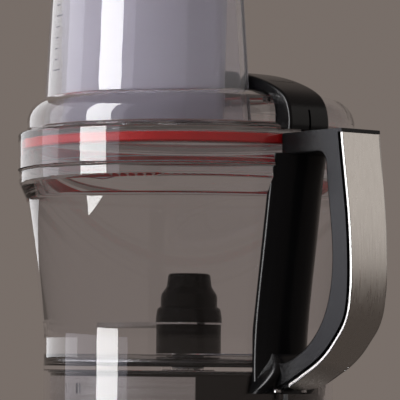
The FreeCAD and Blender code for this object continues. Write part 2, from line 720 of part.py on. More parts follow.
def finger_gap():
    inner = curve_edge(GRIP_INNER)
    low, high = in_xz(GRIP_INNER[0]), in_xz(GRIP_INNER[-1])
    gap = extruded_y([inner] + lines_between(high, V(80, 0, BRIDGE_Z[0]),
                                             V(80, 0, low.z), low), 40)
    corner = [e for e in gap.Edges if e.BoundBox.YLength > 70 and
              abs(e.BoundBox.XMin - high.x) < 0.1]
    return gap.makeFillet(7.0, corner)


def spine_wire(z):
    r = bowl_outside_r(z)
    a, b, c = V(r - 7.0, -20.0, z), V(r + 0.6, -19.4, z), V(r + 5.0, -15.2, z)
    crown = V(r + 10.9, 0, z)
    d, e, f = [V(p.x, -p.y, z) for p in (c, b, a)]
    edges = lines_between(a, b, c) + [Part.Arc(c, crown, d).toShape()]
    return Part.Wire(edges + lines_between(d, e, f, a))


def handle_spine():
    levels = [FOOT_Z, TAPER_Z - 6, TAPER_Z + 10, BOWL_Z + 62, SHOULDER_Z, BRIDGE_Z[0] + 1]
    spine = Part.makeLoft([spine_wire(z) for z in levels], True, False)
    return spine.makeFillet(2.4, vertical_edges(spine, 60))


# height, reach in X and half width of the leaf-shaped flare at the handle's foot
FLARE_SECTIONS = [(FOOT_Z + 0.1, 92.0, 21.4), (BOWL_Z - 9.5, 97.5, 20.4), (BOWL_Z - 3.0, 102.0, 17.6),
                  (BOWL_Z + 3.0, 102.0, 14.6), (BOWL_Z + 9.0, 97.0, 12.6)]


def handle_flare():
    wires = []
    for z, reach, half in FLARE_SECTIONS:
        corners = [(76, -half, 0), (reach, -half, 5.0), (reach, half, 5.0), (76, half, 0)]
        wires.append(rounded_wire(corners, in_xy(z)))
    return Part.makeLoft(wires, True, False)


def flank_edges(slab):
    """Outline edges on both flanks of the grip, without those hidden in the spine."""
    found = []
    for e in slab.Edges:
        b = e.BoundBox
        if b.YLength < 1.6 and min(abs(b.YMin), abs(b.YMax)) > 12.0 and b.XMax > 104.0:
            if b.XLength + b.ZLength > 5 and b.XMin > 90.0:
                found.append(e)
    return found


def bowl_envelope(gap=0.0):
    """Everything inside the bowl's outer surface, the lid skirt and the air they need."""
    corners = [(0, SKIRT_BOTTOM_Z - 5, 0)] + [(r + gap, z, 0 if k < 1.0 else k)
                                              for r, z, k in BOWL_OUTSIDE[:4]]
    body = turned(corners + [(RIM_R + gap, RIM_STEP_Z, 0), (0, RIM_STEP_Z, 0)])
    return body.fuse(cyl(LID_R + 0.6, RIM_STEP_Z - 0.2, BOWL_Z + 200))


def rod_cylinder(radius, below=0.0, above=0.0):
    run = ROD_HEAD - ROD_FOOT
    step = V(run).normalize()
    start = ROD_FOOT - step * below
    return Part.makeCylinder(radius, run.Length + below + above, start, step)


def handle_frame():
    gap = finger_gap()
    shoulder = grip_slab(GROOVE_DEPTH, 0.0).cut(gap)
    shoulder = shoulder.makeFillet(1.4, flank_edges(shoulder))
    core = grip_slab(COVER_DEPTH + 0.05, GROOVE_SIDE).cut(gap)
    lid_plate = grip_slab(0.0, 0.0).common(box(120, 200, -20, 20, BRIDGE_Z[1] - 2.0, 400))
    body = fused([shoulder, core, lid_plate, handle_spine(), handle_flare()])
    return body.cut([bowl_envelope(0.0), rod_cylinder(ROD_R + 0.3, 20, 20)])


def handle_cover():
    """Brushed steel strip on the outer face of the grip, ending in a blunt point."""
    inner, outer = curve_edge(GRIP_OUTER, -COVER_DEPTH), curve_edge(GRIP_OUTER, 0.0)
    a, b = inner.Vertexes, outer.Vertexes
    edges = [outer, Part.makeLine(b[-1].Point, a[-1].Point), inner,
             Part.makeLine(a[0].Point, b[0].Point)]
    band = extruded_y(edges, 20).common(taper_prism(COVER_SIDE))
    plan = [(104.0, -4.0, 1.0), (113.0, -20, 0), (260, -20, 0), (260, 20, 0), (113.0, 20, 0),
            (104.0, 4.0, 1.0)]
    return band.common(slab(plan, 0, BRIDGE_Z[1] - 2.3))


def interlock_rod():
    rod = rod_cylinder(ROD_R)
    return rod.makeFillet(0.5, [e for e in rod.Edges if e.Closed])


# ---- blade --------------------------------------------------------------------------------
SPINDLE_SHOULDER_Z = BOWL_Z + 36.0
SPINDLE_TOP_Z = BOWL_Z + 50.0


def drive_spindle():
    body = turned([(0, BOWL_Z + 0.1, 0), (9.7, BOWL_Z + 0.1, 0.6),
                   (9.7, SPINDLE_SHOULDER_Z, 1.2), (0, SPINDLE_SHOULDER_Z, 0)])
    head = hexagon(15.0, SPINDLE_SHOULDER_Z - 1, SPINDLE_TOP_Z)
    head = head.common(turned([(0, 100, 0), (9.0, 100, 0), (9.0, SPINDLE_TOP_Z - 1.5, 0),
                               (7.0, SPINDLE_TOP_Z, 0), (0, SPINDLE_TOP_Z, 0)]))
    return fused([body, head]).cut(hexagon(12.3, BOWL_Z - 1, BOWL_Z + 17.0))


HUB_R = 17.0
HUB_TOP_Z = BOWL_Z + 57.0
LOWER_BLADE_Z = BOWL_Z + 7.0
UPPER_BLADE_Z = BOWL_Z + 27.0


def blade_hub():
    hub = turned([(TUBE_R + 0.7, BOWL_Z + 4.0, 0.5), (19.5, BOWL_Z + 4.0, 0.8),
                  (19.5, LOWER_BLADE_Z - 0.05, 0), (HUB_R, LOWER_BLADE_Z - 0.05, 0),
                  (HUB_R, BOWL_Z + 44.0, 6.0), (13.5, BOWL_Z + 49.0, 3.0),
                  (12.5, HUB_TOP_Z, 2.0), (0, HUB_TOP_Z, 0),
                  (0, TUBE_TOP_Z + 1, 0), (TUBE_R + 0.7, TUBE_TOP_Z + 1, 0)])
    flutes = [turn(cyl(2.2, BOWL_Z + 47.0, HUB_TOP_Z + 5, 14.4, 0), 45.0 * i)
              for i in range(8)]
    return hub.cut([hexagon(15.3, BOWL_Z + 30, SPINDLE_TOP_Z + 0.6)] + flutes)


def hub_spacer():
    """Sleeve between the two blades, on the hub."""
    return tube(19.5, HUB_R + 0.05, LOWER_BLADE_Z + 2.0, UPPER_BLADE_Z - 0.05)


def hub_cap():
    """Ring that clamps the upper blade down."""
    top = UPPER_BLADE_Z + 2.0
    return turned([(HUB_R + 0.05, top + 0.05, 0), (20.0, top + 0.05, 0.5), (19.0, top + 7.0, 2.5),
                   (HUB_R + 0.05, top + 8.0, 0)])


def blade(z, degrees):
    """One sickle-shaped wing on a ring, with a ground bevel along its leading edge."""
    front = Part.Arc(V(8, -18, z), V(50, -17.5, z), V(80, 6, z)).toShape()
    tip = Part.makeLine(V(80, 6, z), V(74, 15, z))
    back = Part.Arc(V(74, 15, z), V(42, 7.0, z), V(4, 19, z)).toShape()
    root = Part.makeLine(V(4, 19, z), V(8, -18, z))
    wing = Part.Face(Part.Wire([front, tip, back, root])).extrude(V(0, 0, 1.9))
    keen = [e for e in wing.Edges
            if e.Curve.TypeId == "Part::GeomCircle" and e.BoundBox.ZMin > z + 1
            and e.BoundBox.YMin < -10]
    wing = wing.makeChamfer(1.2, keen)
    ring = cyl(20.0, z, z + 1.9)
    return turn(fused([wing, ring]).cut(cyl(HUB_R + 0.02, z - 1, z + 5)), degrees)


# ---- lid ----------------------------------------------------------------------------------
FLANGE_Z = (BOWL_Z + 135.2, BOWL_Z + 139.2)
LID_SKIRT_Z = BOWL_Z + 117.6
LID_LIP_Z = BOWL_Z + 121.0
CHUTE_BOTTOM_Z = BOWL_Z + 139.5
CHUTE_ROUND_R = 88.0
CHUTE_CORNER_R = 7.0
# corners of the feed chute at the lid's top, before the round outer wall is cut to the lid
CHUTE_CORNERS = [(-71.0, -15.6), (80.0, -15.6), (77.0, -38.0), (56.0, -80.0), (56.0, -100.0),
                 (-50.0, -100.0), (-56.0, -80.0), (-76.0, -42.0)]


def chute_wire(inset, z):
    """The chute's D-shaped outline with rounded corners, moved in by inset."""
    points = [V(x, y, 0) for x, y in CHUTE_CORNERS]
    plate = Part.Face(Part.makePolygon(points + points[:1]))
    plate = plate.common(Part.Face(Part.Wire(Part.makeCircle(CHUTE_ROUND_R))))
    sharp = plate.Faces[0].OuterWire
    shrunk = sharp.makeOffset2D(-CHUTE_CORNER_R - inset)
    grown = shrunk.makeOffset2D(CHUTE_CORNER_R)
    grown.translate(V(0, 0, z))
    return Part.Wire(grown.Edges) if not isinstance(grown, Part.Wire) else grown


def chute_form(inset, z0, z1, draft=CHUTE_DRAFT):
    """A drafted block with the chute's outline; draft narrows it upwards from the lid's top."""
    low = chute_wire(inset + draft * (z0 - LID_TOP_Z), z0)
    high = chute_wire(inset + draft * (z1 - LID_TOP_Z), z1)
    return Part.makeLoft([low, high], True, True)


def lid_shell():
    return turned([
        (92.6, LID_LIP_Z, 0.5), (95.0, LID_LIP_Z, 0.5), (95.0, FLANGE_Z[0], 0.3),
        (LID_R - WALL + 0.3, FLANGE_Z[0], 0.5), (LID_R - WALL + 0.3, LID_SKIRT_Z, 0.6),
        (LID_R, LID_SKIRT_Z, 0.6), (LID_R, FLANGE_Z[1], 1.5), (DOME_R, FLANGE_Z[1] + 2.4, 1.2),
        (DOME_R, LID_TOP_Z, 15.0), (0, LID_TOP_Z, 0), (0, LID_TOP_Z - WALL, 0),
        (DOME_R - WALL, LID_TOP_Z - WALL, 12.8), (DOME_R - WALL, FLANGE_Z[1] + 1.0, 2.0),
        (92.6, FLANGE_Z[0] + 1.0, 2.0)])


def lid():
    return lid_shell().cut(chute_form(-0.1, CHUTE_BOTTOM_Z - 1, LID_TOP_Z + 5))


def feed_chute():
    """Open clear tube welded into the lid, narrowing upwards."""
    wall_out = chute_form(0.0, CHUTE_BOTTOM_Z, CHUTE_TOP_Z)
    return wall_out.cut(chute_form(WALL, CHUTE_BOTTOM_Z - 1, CHUTE_TOP_Z + 1))


def lid_seal():
    """Red silicone ring between the bowl rim and the lid flange."""
    low, high = RIM_TOP_Z + FIT, FLANGE_Z[0] - FIT
    outer = LID_R - WALL + 0.3 - 0.15
    return turned([(95.2, low, 0.6), (outer, low, 1.0), (outer, high, 1.0), (95.2, high, 0.6)])


LATCH_HALF_W = 14.7
LATCH_TOP = [(6.0, BOWL_Z + 176.5), (42.0, BOWL_Z + 175.6), (73.0, BOWL_Z + 170.6),
             (95.0, BOWL_Z + 163.2), (106.5, BOWL_Z + 155.5), (110.4, BOWL_Z + 147.0),
             (110.8, BOWL_Z + 137.2)]


def latch_block(points, half_width, base_z):
    top = curve_edge(points)
    start, end = in_xz(points[0]), in_xz(points[-1])
    edges = [top] + lines_between(end, V(points[0][0], 0, base_z), start)
    return extruded_y(edges, half_width)


def lid_envelope(gap=0.0):
    """Space of the lid's top side, used to seat the latch on it."""
    form = turned([
        (0, 200, 0), (LID_R + gap, 200, 0), (LID_R + gap, FLANGE_Z[1] + gap, 1.5),
        (DOME_R + gap, FLANGE_Z[1] + 2.4 + gap, 1.2), (DOME_R + gap, LID_TOP_Z + gap, 15.0),
        (0, LID_TOP_Z + gap, 0)])
    return form.fuse(chute_form(0.0, LID_TOP_Z - 5, CHUTE_TOP_Z))


def latch_cover():
    """Arched black tab from the chute out over the rim, which locks over the handle."""
    block = latch_block(LATCH_TOP, LATCH_HALF_W, BOWL_Z + 137.2)
    rounded = [e for e in block.Edges
               if e.BoundBox.YLength < 0.01 and e.BoundBox.XLength > 90 and e.BoundBox.ZLength > 30]
    rounded = [e for e in rounded if e.Curve.TypeId == "Part::GeomBSplineCurve"]
    block = block.makeFillet(1.8, rounded)
    groove = box(107.5, 115, -0.7, 0.7, BOWL_Z + 136, BOWL_Z + 149)
    pocket = box(20.0, 86.0, -9.0, 9.0, LID_TOP_Z - 1, LID_TOP_Z + 5.5)
    tongue = box(104.5, 109.4, -5.3, 12.3, BOWL_Z + 130, BOWL_Z + 140.2)
    return block.cut([lid_envelope(), groove, pocket, tongue])


def latch_tongue():
    """Cam under the tab that holds the handle's rod down when the lid is locked."""
    plate = box(104.7, 109.2, -5.1, 12.1, BOWL_Z + 137.3, BOWL_Z + 140.0)
    side = [V(105.2, y, BOWL_Z + z) for y, z in
            ((-2.0, 138.0), (-1.5, 135.5), (1.0, 135.5), (7.0, 136.2), (7.5, 138.0), (-2.0, 138.0))]
    nub = Part.Face(Part.makePolygon(side)).extrude(V(3.8, 0, 0))
    return fused([plate, nub])


def latch_screws():
    screws = []
    for x in (36.0, 72.0):
        head = cyl(2.8, LID_TOP_Z - WALL - 2.0, LID_TOP_Z - WALL, x, 0)
        shank = cyl(1.5, LID_TOP_Z - WALL, LID_TOP_Z + 7.5, x, 0)
        screws.append(head.fuse(shank))
    return screws


# ---- pushers ------------------------------------------------------------------------------
PUSHER_BOTTOM_Z = CHUTE_BOTTOM_Z + 2.0
PUSHER_WALL = 2.2
PUSHER_TOP_Z = CHUTE_TOP_Z + 2.6


def pusher_form(inset, z0, z1):
    """The large pusher narrows downwards, and the chute narrows upwards."""
    top_inset = WALL + CHUTE_DRAFT * (CHUTE_TOP_Z - LID_TOP_Z) + 0.7
    low = chute_wire(top_inset + 1.6 * (CHUTE_TOP_Z - z0) / 140.0 + inset, z0)
    high = chute_wire(top_inset + 1.6 * (CHUTE_TOP_Z - z1) / 140.0 + inset, z1)
    return Part.makeLoft([low, high], True, True)


RIB_X = [-58.0, -46.0, -34.0, 34.0, 46.0, 58.0]


def large_pusher():
    top = CHUTE_TOP_Z + 0.3
    shell = pusher_form(0, PUSHER_BOTTOM_Z, top)
    hollow = pusher_form(PUSHER_WALL, PUSHER_BOTTOM_Z + PUSHER_WALL, top + 1)
    feed = cyl(SMALL_TUBE_R + PUSHER_WALL, PUSHER_BOTTOM_Z, top, 0, SMALL_TUBE_Y)
    rib_room = shell.cut(pusher_form(PUSHER_WALL + 3.5, PUSHER_BOTTOM_Z, top + 1))
    ribs = [box(x - 0.6, x + 0.6, -100, 0, PUSHER_BOTTOM_Z, top - 9).common(rib_room) for x in RIB_X]
    body = fused([shell.cut(hollow), feed.common(shell)] + ribs)
    return body.cut(cyl(SMALL_TUBE_R, PUSHER_BOTTOM_Z - 1, top + 1, 0, SMALL_TUBE_Y))


def pusher_cap():
    """Black top of the large pusher; its rim rests on the chute."""
    z0, z1 = CHUTE_TOP_Z + 0.3, CHUTE_TOP_Z + 13.0
    draft_inset = CHUTE_DRAFT * (CHUTE_TOP_Z - LID_TOP_Z)
    low = chute_wire(draft_inset, z0)
    mid = chute_wire(draft_inset, z1 - 3)
    top = chute_wire(draft_inset + 3.0, z1)
    cap = fused([Part.makeLoft([low, mid], True, True), Part.makeLoft([mid, top], True, True)])
    plug = pusher_form(PUSHER_WALL + 0.3, CHUTE_TOP_Z - 5.0, z0 + 0.01)
    plug = plug.cut(pusher_form(PUSHER_WALL + 2.6, CHUTE_TOP_Z - 6.0, z0 + 1))
    plug = plug.cut(cyl(SMALL_TUBE_R + PUSHER_WALL + 0.3, 0, 600, 0, SMALL_TUBE_Y))
    return fused([cap, plug]).cut(cyl(SMALL_TUBE_R, 0, 600, 0, SMALL_TUBE_Y))


SMALL_TOP_Z = CHUTE_TOP_Z + 17.5


def small_pusher():
    r = SMALL_TUBE_R - 0.7
    body = turned([(0, PUSHER_BOTTOM_Z + 0.4, 0), (r - 1.6, PUSHER_BOTTOM_Z + 0.4, 3.0),
                   (r, CHUTE_TOP_Z + 13.3, 0), (r + 2.6, CHUTE_TOP_Z + 13.3, 0.5),
                   (r + 2.6, SMALL_TOP_Z - 2.0, 0.8), (r - 2.2, SMALL_TOP_Z - 2.0, 0.5),
                   (r - 3.8, PUSHER_BOTTOM_Z + 2.8, 3.0), (0, PUSHER_BOTTOM_Z + 2.8, 0)])
    body.translate(V(0, SMALL_TUBE_Y, 0))
    return body


def small_pusher_rim():
    r = SMALL_TUBE_R - 0.7
    z = SMALL_TOP_Z - 2.0
    ring = turned([(r - 2.2, z + 0.02, 0), (r + 2.6, z + 0.02, 0.4), (r + 2.2, z + 3.0, 1.4),
                   (r - 2.2, z + 3.0, 0.8)])
    ring.translate(V(0, SMALL_TUBE_Y, 0))
    return ring


# ---- all pieces ---------------------------------------------------------------------------
def handle_screws():
    """Two screws up into the foot of the handle."""
    screws = []
    for y in (-9.5, 9.5):
        screws.append(pan_screw(95.0, y, FOOT_Z + 1.0, 2.4, 14.0, 1.2))
    return screws


def make_parts():
    frame = handle_frame()
    frame_screws = handle_screws()
    frame = frame.cut([cyl(2.6, FOOT_Z - 2, FOOT_Z + 3.0, 95.0, y) for y in (-9.5, 9.5)]
                      + [cyl(1.2, FOOT_Z, FOOT_Z + 15.0, 95.0, y) for y in (-9.5, 9.5)])
    clear_lid = lid().cut([cyl(1.6, LID_TOP_Z - 6, LID_TOP_Z + 3, x, 0) for x in (36.0, 72.0)])
    cover = latch_cover().cut([cyl(1.5, LID_TOP_Z - 1, LID_TOP_Z + 7.5, x, 0)
                               for x in (36.0, 72.0)])
    parts = {
        "base_housing": base_housing(),
        "bottom_plate": bottom_plate(),
        "feet": feet(),
        "base_screws": base_screws(),
        "boss_housing": boss_housing(),
        "boss_band": boss_band(),
        "shaft_seal": shaft_seal(),
        "interlock_turret": interlock_turret(),
        "interlock_plunger": interlock_plunger(),
        "plunger_spring": plunger_spring(),
        "interlock_switch": interlock_switch(),
        "stator_core": stator_core(),
        "stator_windings": stator_windings(),
        "upper_bracket": end_bracket(99.0, 107.0, UPPER_BEARING_Z),
        "lower_bracket": end_bracket(20.0, 28.0, LOWER_BEARING_Z),
        "upper_bearing": bearing(UPPER_BEARING_Z),
        "lower_bearing": bearing(LOWER_BEARING_Z),
        "motor_bolts": motor_bolts(),
        "motor_mounts": motor_mounts(),
        "rotor_core": rotor_core(),
        "motor_shaft": motor_shaft(),
        "cooling_fan": cooling_fan(),
        "drive_dog": drive_dog(),
        "run_capacitor": run_capacitor(),
        "capacitor_cradle": capacitor_cradle(),
        "power_board": power_board(),
        "control_panel": control_panel(),
        "display_bezel": display_bezel(),
        "display_lens": display_lens(),
        "display_module": display_module(),
        "control_board": control_board(),
        "tact_switches": tact_switches(),
        "cord_gland": cord_gland(),
        "bowl": bowl(),
        "bowl_gasket": bowl_gasket(),
        "handle_frame": frame,
        "handle_cover": handle_cover(),
        "handle_screws": group(frame_screws),
        "interlock_rod": interlock_rod(),
        "drive_spindle": drive_spindle(),
        "blade_hub": blade_hub(),
        "hub_spacer": hub_spacer(),
        "hub_cap": hub_cap(),
        "lower_blade": blade(LOWER_BLADE_Z, 0.0),
        "upper_blade": blade(UPPER_BLADE_Z, 180.0),
        "lid": clear_lid,
        "feed_chute": feed_chute(),
        "lid_seal": lid_seal(),
        "latch_cover": cover,
        "latch_tongue": latch_tongue(),
        "latch_screws": group(latch_screws()),
        "large_pusher": large_pusher(),
        "pusher_cap": pusher_cap(),
        "small_pusher": small_pusher(),
        "small_pusher_rim": small_pusher_rim(),
    }
    for name in BUTTONS:
        parts[name] = button(name)
    return parts


os.makedirs("parts", exist_ok=True)
for name, shape in make_parts().items():
    shape.exportStep(f"parts/{name}.step")
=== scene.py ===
"""Looks of the food processor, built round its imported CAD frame. Metres, +Z up.

The control panel faces -Y, the bowl handle points along +X, and the drive axis is the Z axis.
"""
import json
import math

import bpy
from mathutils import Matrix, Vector


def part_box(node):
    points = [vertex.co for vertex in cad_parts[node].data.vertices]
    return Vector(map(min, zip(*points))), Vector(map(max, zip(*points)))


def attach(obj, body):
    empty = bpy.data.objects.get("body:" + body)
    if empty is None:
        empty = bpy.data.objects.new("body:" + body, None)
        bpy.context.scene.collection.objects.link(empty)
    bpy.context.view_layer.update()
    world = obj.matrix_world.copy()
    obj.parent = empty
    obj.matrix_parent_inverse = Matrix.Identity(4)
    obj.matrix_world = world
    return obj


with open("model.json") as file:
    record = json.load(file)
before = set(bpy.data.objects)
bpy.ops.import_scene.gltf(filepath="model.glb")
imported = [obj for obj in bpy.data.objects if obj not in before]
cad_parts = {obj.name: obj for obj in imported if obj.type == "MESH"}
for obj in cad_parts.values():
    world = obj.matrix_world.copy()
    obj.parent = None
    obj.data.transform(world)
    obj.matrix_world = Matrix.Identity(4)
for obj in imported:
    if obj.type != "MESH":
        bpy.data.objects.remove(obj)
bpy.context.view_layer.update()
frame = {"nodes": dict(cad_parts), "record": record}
NODES = frame["nodes"]
MM = 0.001

# ---- sizes shared with the CAD, in millimetres ----------------------------------------------
BOWL_Z = 150.0
LID_TOP_Z = BOWL_Z + 161.5
CHUTE_R = 88.0                       # round outer wall of the feed chute at the lid's top
CHUTE_DRAFT = math.tan(math.radians(2.6))
# line down the steel cover's outer face, from just under the bridge to the blunt point's root
COVER_LINE = [(155.2, 282.6), (158.4, 259.0), (161.6, 235.0), (163.0, 212.0), (162.4, 192.0),
              (158.6, 177.0), (150.5, 166.5), (138.5, 155.5), (122.0, 146.5), (110.0, 140.9)]
COVER_HALF_LOW = 12.3                # half width of the cover at the handle's foot and at its top
COVER_HALF_TOP = 13.8
COVER_Z = (135.0, 286.2)
LATCH_SIDE_Y = -14.7
DISPLAY_XZ = (0.0, 69.0)
DISPLAY_Y = -102.4
BUTTON_MARKS = {
    # body: (node, x, z, mark)
    "start_key": ("start_button", -39.0, 75.0, "start"),
    "pulse_key": ("pulse_button", 39.0, 75.0, "pulse"),
    "power_key": ("power_button", -39.0, 51.5, "power"),
    "timer_up_key": ("timer_up_button", 31.5, 51.5, "plus"),
    "timer_down_key": ("timer_down_button", 46.5, 51.5, "minus"),
}
MARK_BEHIND_RIM = 0.42               # printed marks lie in the dish, this far behind the button's rim
MARK_DEPTH = 0.15
STROKE = 0.5                         # width of the marks' straight strokes

# ---- camera ---------------------------------------------------------------------------------
VIEW_DIR = Vector((0.788, -0.616, 0.0))      # from the drive axis towards the camera
IMAGE_RIGHT = Vector((0.616, 0.788, 0.0))
EYE_DISTANCE = 1.75
EYE_HEIGHT = 0.150
AIM_HEIGHT = 0.2515
AIM_RIGHT = 0.006
LENS_MM = 262.0
ROLL_DEG = 0.6


def place_camera():
    """Camera level with the bowl's floor, between panel and handle, looking slightly up."""
    data = bpy.data.cameras.new("camera")
    data.lens = LENS_MM
    data.sensor_width = 36.0
    data.clip_end = 100.0
    camera = bpy.data.objects.new("camera", data)
    bpy.context.collection.objects.link(camera)
    camera.location = VIEW_DIR * EYE_DISTANCE + Vector((0, 0, EYE_HEIGHT))
    aim = IMAGE_RIGHT * AIM_RIGHT + Vector((0, 0, AIM_HEIGHT))
    facing = (aim - camera.location).to_track_quat("-Z", "Y")
    camera.rotation_euler = facing.to_euler()
    camera.rotation_euler.rotate_axis("Z", math.radians(ROLL_DEG))
    bpy.context.scene.camera = camera


# ---- light and surroundings -----------------------------------------------------------------
WALL_COLOUR = (0.185, 0.155, 0.138)
FLOOR_COLOUR = (0.62, 0.60, 0.58)
FLOOR_IN_REFLECTIONS = 0.45          # how bright reflections show the floor, next to the wall


def surroundings():
    """World: a warm grey wall where it is looked at, and soft warm white light on the object."""
    world = bpy.data.worlds.new("studio")
    bpy.context.scene.world = world
    world.use_nodes = True
    tree = world.node_tree
    tree.nodes.clear()
    path = tree.nodes.new("ShaderNodeLightPath")
    seen = tree.nodes.new("ShaderNodeMath")
    seen.operation = "MAXIMUM"
    tree.links.new(path.outputs["Is Camera Ray"], seen.inputs[0])
    tree.links.new(path.outputs["Is Glossy Ray"], seen.inputs[1])
    seen_too = tree.nodes.new("ShaderNodeMath")
    seen_too.operation = "MAXIMUM"
    tree.links.new(seen.outputs[0], seen_too.inputs[0])
    tree.links.new(path.outputs["Is Transmission Ray"], seen_too.inputs[1])
    # a ray that lights something inside a clear shell counts as light, not as a look at the wall
    direct = tree.nodes.new("ShaderNodeMath")
    direct.operation = "LESS_THAN"
    direct.inputs[1].default_value = 0.5
    tree.links.new(path.outputs["Diffuse Depth"], direct.inputs[0])
    both = tree.nodes.new("ShaderNodeMath")
    both.operation = "MULTIPLY"
    tree.links.new(seen_too.outputs[0], both.inputs[0])
    tree.links.new(direct.outputs[0], both.inputs[1])
    light = tree.nodes.new("ShaderNodeBackground")
    light.inputs["Color"].default_value = (1.0, 0.98, 0.96, 1)
    light.inputs["Strength"].default_value = 0.45
    wall = tree.nodes.new("ShaderNodeBackground")
    wall.inputs["Color"].default_value = (*WALL_COLOUR, 1)
    mix = tree.nodes.new("ShaderNodeMixShader")
    tree.links.new(both.outputs[0], mix.inputs[0])
    tree.links.new(light.outputs[0], mix.inputs[1])
    tree.links.new(wall.outputs[0], mix.inputs[2])
    out = tree.nodes.new("ShaderNodeOutputWorld")
    tree.links.new(mix.outputs[0], out.inputs["Surface"])


def softbox(name, angle_deg, distance, height, size, radiance, colour=(1, 1, 1),
            lights=True, shows=True):
    """A rectangular lamp that faces the bowl from a compass angle round the drive axis.

    It lights surfaces if lights is true, and is seen in reflections if shows is true.
    """
    width, tall = size
    data = bpy.data.lights.new(name, "AREA")
    data.shape = "RECTANGLE"
    data.size = width
    data.size_y = tall
    data.energy = radiance * math.pi * width * tall
    data.color = colour
    lamp = bpy.data.objects.new(name, data)
    bpy.context.collection.objects.link(lamp)
    a = math.radians(angle_deg)
    lamp.location = (distance * math.cos(a), distance * math.sin(a), height)
    target = Vector((0, 0, 0.25))
    lamp.rotation_euler = (target - lamp.location).to_track_quat("-Z", "Y").to_euler()
    lamp.visible_camera = False
    lamp.visible_transmission = False
    lamp.visible_diffuse = lights
    lamp.visible_glossy = shows


def place_lamps():
    softbox("key", -95, 1.5, 0.9, (0.9, 0.9), 5.0, shows=False)
    softbox("top", 60, 1.2, 1.4, (0.9, 0.9), 2.5, shows=False)
    softbox("strip", -103, 1.3, 0.45, (0.46, 1.5), 14.0, lights=False)
    softbox("haze", -118, 1.7, 0.80, (2.4, 1.5), 1.6, (0.88, 0.87, 1.0), lights=False)
    softbox("side", -162, 1.5, 0.60, (1.7, 0.9), 1.7, (0.94, 0.96, 1.0), lights=False)
    softbox("fill", 40, 1.6, 0.80, (1.8, 1.1), 0.46, (1.0, 0.97, 0.93))


def floor_material():
    """Pale matt floor, which reflections show darker than the wall."""
    mat = plastic("floor_paint", FLOOR_COLOUR, 0.7, 40, 0.0002)
    tree = mat.node_tree
    path = tree.nodes.new("ShaderNodeLightPath")
    dark = tree.nodes.new("ShaderNodeEmission")
    dark.inputs["Color"].default_value = (*[FLOOR_IN_REFLECTIONS * c for c in WALL_COLOUR], 1)
    mix = tree.nodes.new("ShaderNodeMixShader")
    tree.links.new(path.outputs["Is Glossy Ray"], mix.inputs[0])
    tree.links.new(tree.nodes["Principled BSDF"].outputs[0], mix.inputs[1])
    tree.links.new(dark.outputs[0], mix.inputs[2])
    tree.links.new(mix.outputs[0], tree.nodes["Material Output"].inputs["Surface"])
    return mat


def place_floor():
    size = 6.0
    mesh = bpy.data.meshes.new("floor")
    corners = [(-size, -size, 0), (size, -size, 0), (size, size, 0), (-size, size, 0)]
    mesh.from_pydata(corners, [], [(0, 1, 2, 3)])
    floor = bpy.data.objects.new("floor", mesh)
    bpy.context.collection.objects.link(floor)
    mesh.materials.append(floor_material())


# ---- materials ------------------------------------------------------------------------------
def shader(name):
    """A new material, its node tree and its main shader."""
    mat = bpy.data.materials.new(name)
    mat.use_nodes = True
    return mat, mat.node_tree, mat.node_tree.nodes["Principled BSDF"]


def noise(tree, scale, stretch=(1, 1, 1), detail=3.0):
    """Noise in the object's own coordinates, stretched along an axis where its factor is small."""
    coords = tree.nodes.new("ShaderNodeTexCoord")
    mapping = tree.nodes.new("ShaderNodeMapping")
    mapping.inputs["Scale"].default_value = stretch
    texture = tree.nodes.new("ShaderNodeTexNoise")
    texture.inputs["Scale"].default_value = scale
    texture.inputs["Detail"].default_value = detail
    tree.links.new(coords.outputs["Object"], mapping.inputs["Vector"])
    tree.links.new(mapping.outputs["Vector"], texture.inputs["Vector"])
    return texture.outputs["Fac"]


NOISE_LOW = 0.3                      # noise textures lie mostly between these two values
NOISE_HIGH = 0.7


def spread(tree, value, low, high):
    """Maps a noise value to a range."""
    node = tree.nodes.new("ShaderNodeMapRange")
    node.inputs["From Min"].default_value = NOISE_LOW
    node.inputs["From Max"].default_value = NOISE_HIGH
    node.inputs["To Min"].default_value = low
    node.inputs["To Max"].default_value = high
    tree.links.new(value, node.inputs["Value"])
    return node.outputs["Result"]


def tinted(tree, value, colour, contrast):
    """A colour that varies lighter and darker with a noise value."""
    ramp = tree.nodes.new("ShaderNodeValToRGB")
    dark, pale = ramp.color_ramp.elements
    dark.position = NOISE_LOW
    pale.position = NOISE_HIGH
    dark.color = (*[c * (1 - contrast) for c in colour], 1)
    pale.color = (*[min(1, c * (1 + contrast)) for c in colour], 1)
    tree.links.new(value, ramp.inputs["Fac"])
    return ramp.outputs["Color"]


def bump(tree, value, depth, socket):
    """Raises and lowers a surface by a noise value, to depth metres."""
    node = tree.nodes.new("ShaderNodeBump")
    node.inputs["Distance"].default_value = depth
    node.inputs["Strength"].default_value = 0.6
    tree.links.new(value, node.inputs["Height"])
    tree.links.new(node.outputs["Normal"], socket)


def plastic(name, colour, roughness, grain=900, depth=0.00002, contrast=0.06,
            coat=0.0, shine=0.5):
    """Moulded opaque material: a fine grain, and gloss and tone that vary a little over it."""
    mat, tree, bsdf = shader(name)
    fine = noise(tree, grain)
    broad = noise(tree, 14)
    tree.links.new(tinted(tree, broad, colour, contrast), bsdf.inputs["Base Color"])
    tree.links.new(spread(tree, broad, roughness * 0.9, roughness * 1.12), bsdf.inputs["Roughness"])
    bump(tree, fine, depth, bsdf.inputs["Normal"])
    bsdf.inputs["Coat Weight"].default_value = coat
    bsdf.inputs["Coat Roughness"].default_value = 0.08
    bsdf.inputs["Specular IOR Level"].default_value = shine
    return mat


